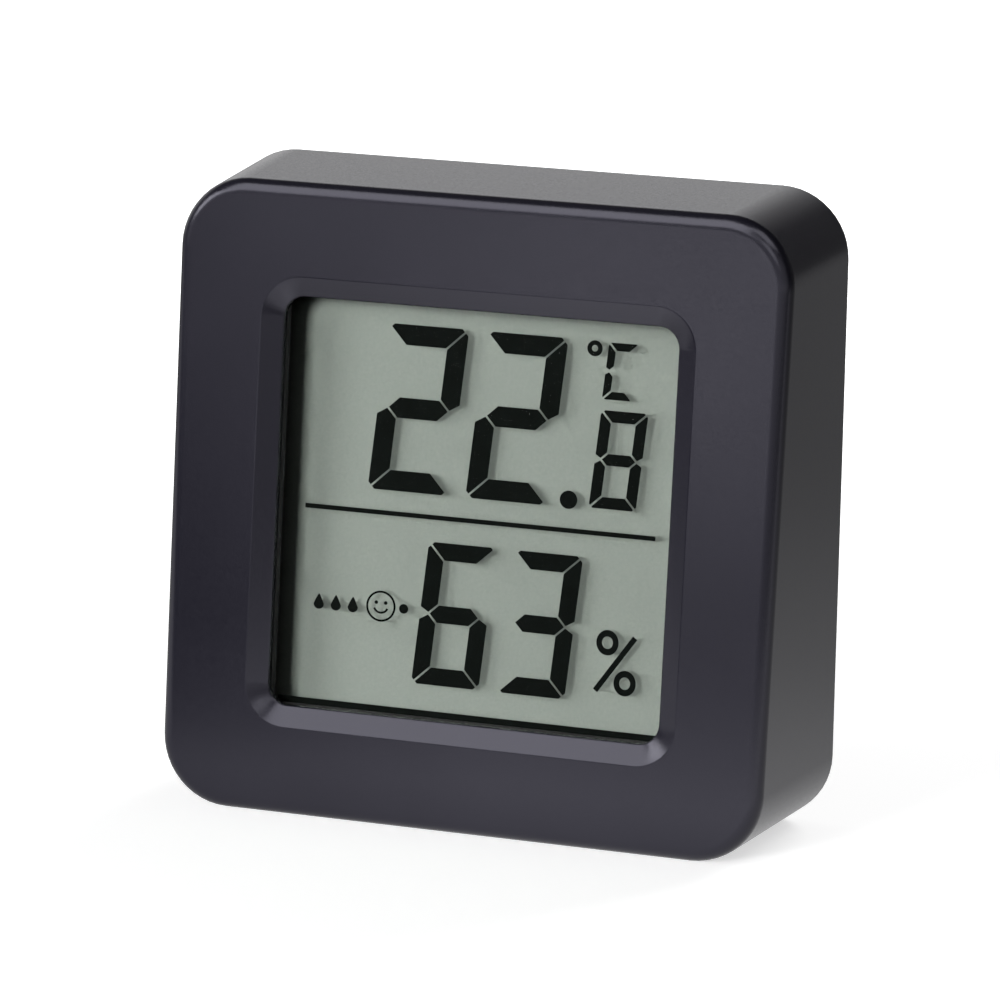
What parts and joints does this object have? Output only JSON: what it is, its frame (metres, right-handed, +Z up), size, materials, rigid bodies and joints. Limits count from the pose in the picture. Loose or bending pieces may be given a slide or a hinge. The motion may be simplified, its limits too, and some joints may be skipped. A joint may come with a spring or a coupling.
{
  "type": "room thermometer and hygrometer",
  "caption": "Small square room thermometer and hygrometer: leaning front, reflective display behind a bevelled window, coin cell under a twist-lock door, keyhole on the back.",
  "frame": {"origin": "middle of the flat bottom wall that it stands on", "axes": "+Z up, -Y towards the viewer of the display, +X to the viewer's right"},
  "size_m": [0.043, 0.0149, 0.0424],
  "materials": {
    "case_plastic": "satin charcoal ABS with a fine moulded grain",
    "button_plastic": "satin dark plastic",
    "switch_plastic": "moulded black plastic",
    "screw_steel": "zinc-plated steel",
    "contact_steel": "nickel-plated spring steel",
    "cell_steel": "nickel-plated steel",
    "gasket_foam": "black foam",
    "display_film": "matt polarising film",
    "display_glass": "clear thin glass",
    "display_sealant": "cured sealant",
    "reflector_film": "grey-green reflecting film",
    "connector_rubber": "layered silicone rubber",
    "board_laminate": "green solder mask on glass laminate",
    "chip_resin": "black epoxy",
    "resistor_ceramic": "glazed ceramic",
    "capacitor_ceramic": "fired ceramic",
    "thermistor_resin": "black epoxy",
    "sensor_ceramic": "white alumina with a polymer coat",
    "cell_seal_plastic": "polypropylene"
  },
  "bodies": {
    "case": {"front_bezel": "case_plastic", "rear_cover": "case_plastic", "cover_screws": "screw_steel", "board_screws": "screw_steel", "switch_base": "switch_plastic", "switch_cover": "contact_steel", "display_gasket": "gasket_foam", "front_polariser": "display_film", "front_glass": "display_glass", "display_seal": "display_sealant", "rear_glass": "display_glass", "display_reflector": "reflector_film", "upper_zebra_strip": "connector_rubber", "lower_zebra_strip": "connector_rubber", "circuit_board": "board_laminate", "chip_blob": "chip_resin", "chip_resistors": "resistor_ceramic", "chip_capacitors": "capacitor_ceramic", "thermistor": "thermistor_resin", "humidity_sensor": "sensor_ceramic", "humidity_leads": "contact_steel", "coin_cell_can": "cell_steel", "coin_cell_cap": "cell_steel", "coin_cell_gasket": "cell_seal_plastic", "cell_spring": "contact_steel", "cell_side_contact": "contact_steel"},
    "battery_door": {"battery_door": "case_plastic"},
    "unit_button": {"unit_button": "button_plastic", "switch_plunger": "switch_plastic"}
  },
  "joints": [
    {"name": "door_turn", "type": "hinge", "parent": "case", "child": "battery_door", "pos_m": [0, 0.00689, 0.01479], "axis": [0, 0.9992, 0.0401], "range_deg": [0, 45]},
    {"name": "button_press", "type": "slide", "parent": "case", "child": "unit_button", "axis": [0, -0.9992, -0.0401], "range_m": [0, 0.0003], "stiffness_N_per_m": 1500}
  ]
}
